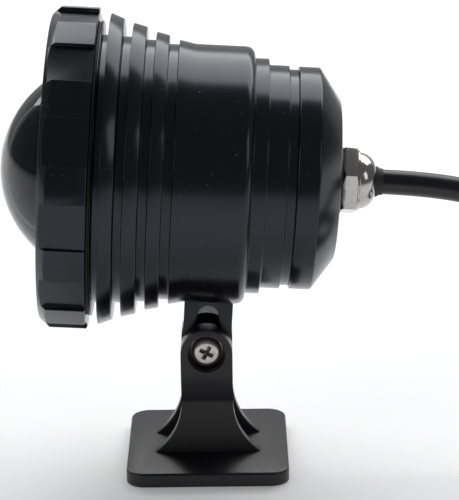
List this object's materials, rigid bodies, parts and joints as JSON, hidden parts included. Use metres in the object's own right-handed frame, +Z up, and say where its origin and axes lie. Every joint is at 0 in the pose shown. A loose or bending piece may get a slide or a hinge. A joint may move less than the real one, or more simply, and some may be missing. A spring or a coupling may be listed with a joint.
{
  "type": "underwater pond light",
  "caption": "Ribbed metal spot lamp with a bull's-eye lens in a grip-lobed bezel, tilting on a forked foot, with its cable, coil and barrel plug.",
  "frame": {"origin": "centre of the foot plate's bottom face", "axes": "+Z up, -X the way the lens faces, +Y across the fork towards the nut's side"},
  "size_m": [0.2994, 0.1082, 0.1318],
  "materials": {
    "black_anodised": "black anodised, satin",
    "black_polymer": "fine moulded grain",
    "stainless": "satin stainless",
    "nickel": "polished nickel plate",
    "clear_glass": "clear, polished",
    "seal_rubber": "moulded rubber",
    "cable_rubber": "round rubber sheath",
    "dark_plastic": "matt black",
    "plug_plastic": "moulded, satin",
    "bare_aluminium": "turned",
    "grey_pad": "soft heat pad",
    "white_board": "white solder mask",
    "green_board": "green solder mask",
    "emitter_ceramic": "unglazed",
    "phosphor": "silicone, satin",
    "ferrite": "ferrite core",
    "capacitor_can": "printed sleeve",
    "chip_plastic": "moulded",
    "wire_sheath": "soft sheath",
    "brass_nut": "plain"
  },
  "bodies": {
    "bracket": {"bracket_base": "black_polymer", "pivot_screw": "stainless", "pivot_nut": "stainless", "pivot_washer": "stainless", "pivot_bush": "dark_plastic", "cable_tube": "cable_rubber", "cable_coil": "cable_rubber", "cable_tail": "cable_rubber", "coil_tie": "dark_plastic", "plug_boot": "plug_plastic", "plug_grip": "plug_plastic", "plug_barrel": "nickel", "plug_insulator": "dark_plastic"},
    "lamp": {"bezel_seal": "seal_rubber", "cable_cores": "wire_sheath", "cable_inlet": "cable_rubber", "cap_ring_seal": "seal_rubber", "driver_board": "green_board", "driver_capacitors": "capacitor_can", "driver_chips": "chip_plastic", "driver_inductor": "ferrite", "driver_screws": "stainless", "driver_spacers": "brass_nut", "gland_body": "nickel", "gland_bush": "seal_rubber", "gland_locknut": "brass_nut", "gland_nut": "nickel", "gland_washer": "seal_rubber", "heat_pad": "grey_pad", "heat_plate": "bare_aluminium", "heat_plate_screws": "stainless", "housing": "black_anodised", "led_board": "white_board", "led_board_screws": "stainless", "led_emitter": "emitter_ceramic", "led_phosphor": "phosphor", "led_wires": "wire_sheath", "lens": "clear_glass", "lens_seal": "seal_rubber", "light_hood": "dark_plastic", "lug_screws": "stainless", "rear_cap": "black_anodised", "tilt_lug": "black_anodised"},
    "gasket": {"slip_gasket": "seal_rubber"},
    "bezel": {"bezel_ring": "black_anodised"}
  },
  "joints": [
    {"name": "tilt", "type": "hinge", "parent": "bracket", "child": "lamp", "pos_m": [0, 0, 0.0343], "axis": [0, 1, 0], "range_deg": [-48.5, 41.5], "deforming": ["cable_tube"]},
    {"name": "bezel_lift", "type": "slide", "parent": "lamp", "child": "gasket", "axis": [-0.9981, 0, 0.061], "range_m": [0, 0.0046]},
    {"name": "bezel_turn", "type": "hinge", "parent": "gasket", "child": "bezel", "pos_m": [0.00305, 0, 0.08421], "axis": [-0.9981, 0, 0.061], "range_deg": [0, 1080]}
  ],
  "couplings": [
    {"joint": "bezel_lift", "follows": "bezel_turn", "m_per_rad": 0.00023873}
  ]
}
